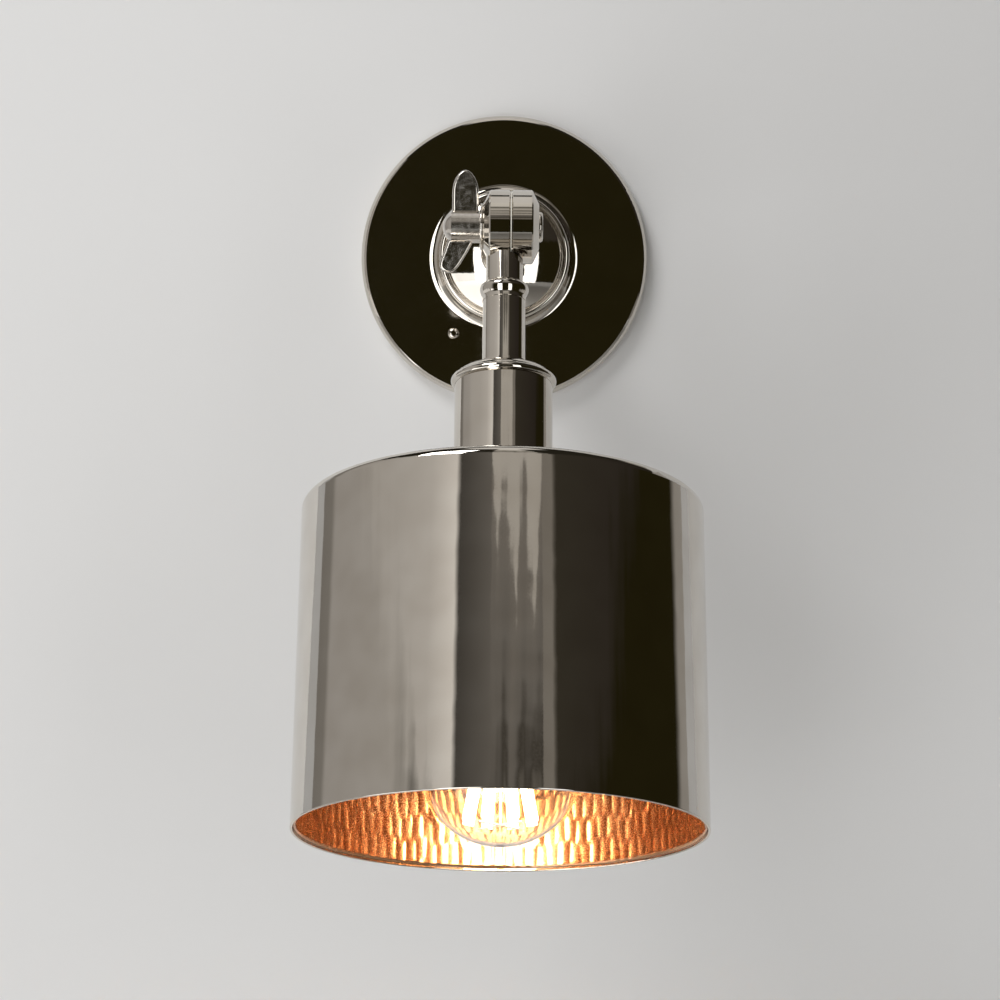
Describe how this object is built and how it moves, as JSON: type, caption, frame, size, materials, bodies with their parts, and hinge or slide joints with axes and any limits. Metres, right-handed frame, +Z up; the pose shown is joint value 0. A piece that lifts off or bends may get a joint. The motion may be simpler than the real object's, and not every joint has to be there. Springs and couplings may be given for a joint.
{
  "type": "adjustable wall light",
  "caption": "Wall light with a round rose, a straight arm, a wing-screw knuckle and a tilting tube shade lined in hammered copper.",
  "frame": {"origin": "middle of the wall plate's back, on the wall", "axes": "+X right, +Z up, +Y into the wall, so the light stands out towards -Y"},
  "size_m": [0.1504, 0.2993, 0.307],
  "materials": {
    "polished_nickel": "polished nickel plate",
    "hammered_copper": "hammered copper, lacquered",
    "zinc_steel": "bright zinc plate",
    "brass": "plain brass",
    "cap_aluminium": "bright",
    "nylon": "satin",
    "lead_jacket": "satin",
    "porcelain": "plain",
    "black_glass": "moulded",
    "clear_glass": "clear",
    "filament_phosphor": "lit"
  },
  "bodies": {
    "arm": {"rose": "polished_nickel", "wall_plate": "zinc_steel", "rose_catch": "zinc_steel", "rose_screw": "polished_nickel", "terminal_block": "nylon", "terminal_screws": "zinc_steel", "earth_screw": "zinc_steel", "arm_rod": "zinc_steel", "rose_washer": "zinc_steel", "rose_nut": "zinc_steel", "arm_rear_collar": "polished_nickel", "arm_tube": "polished_nickel", "arm_front_collar": "polished_nickel", "arm_leads": "lead_jacket", "knuckle_fixed": "polished_nickel", "friction_washer": "nylon", "cup_washer": "polished_nickel", "sleeve_nut": "polished_nickel"},
    "wing_screw": {"wing_screw": "polished_nickel"},
    "head": {"knuckle_moving": "polished_nickel", "stem_collar": "polished_nickel", "stem_tube": "polished_nickel", "head_rod": "zinc_steel", "cup": "polished_nickel", "shade": "polished_nickel", "shade_lining": "hammered_copper", "clamp_washer": "zinc_steel", "holder_cap": "brass", "holder_nut": "zinc_steel", "holder_shell": "brass", "holder_insert": "porcelain", "screw_shell": "brass", "holder_screws": "zinc_steel", "holder_contact": "brass", "head_leads": "lead_jacket"},
    "bulb": {"bulb_cap": "cap_aluminium", "bulb_contact": "brass", "bulb_insulator": "black_glass", "bulb_glass": "clear_glass", "bulb_mount": "clear_glass", "filaments": "filament_phosphor", "filament_frame": "zinc_steel"}
  },
  "joints": [
    {"name": "head_tilt", "type": "hinge", "parent": "arm", "child": "head", "pos_m": [0, -0.157, 0], "axis": [-1, 0, 0], "range_deg": [-38, 162]},
    {"name": "wing_screw_turn", "type": "hinge", "parent": "arm", "child": "wing_screw", "pos_m": [0, -0.157, 0], "axis": [-1, 0, 0], "range_deg": [-360, 360]},
    {"name": "bulb_out", "type": "slide", "parent": "head", "child": "bulb", "axis": [0, -0.3024, -0.9532], "range_m": [0, 0.12]}
  ]
}
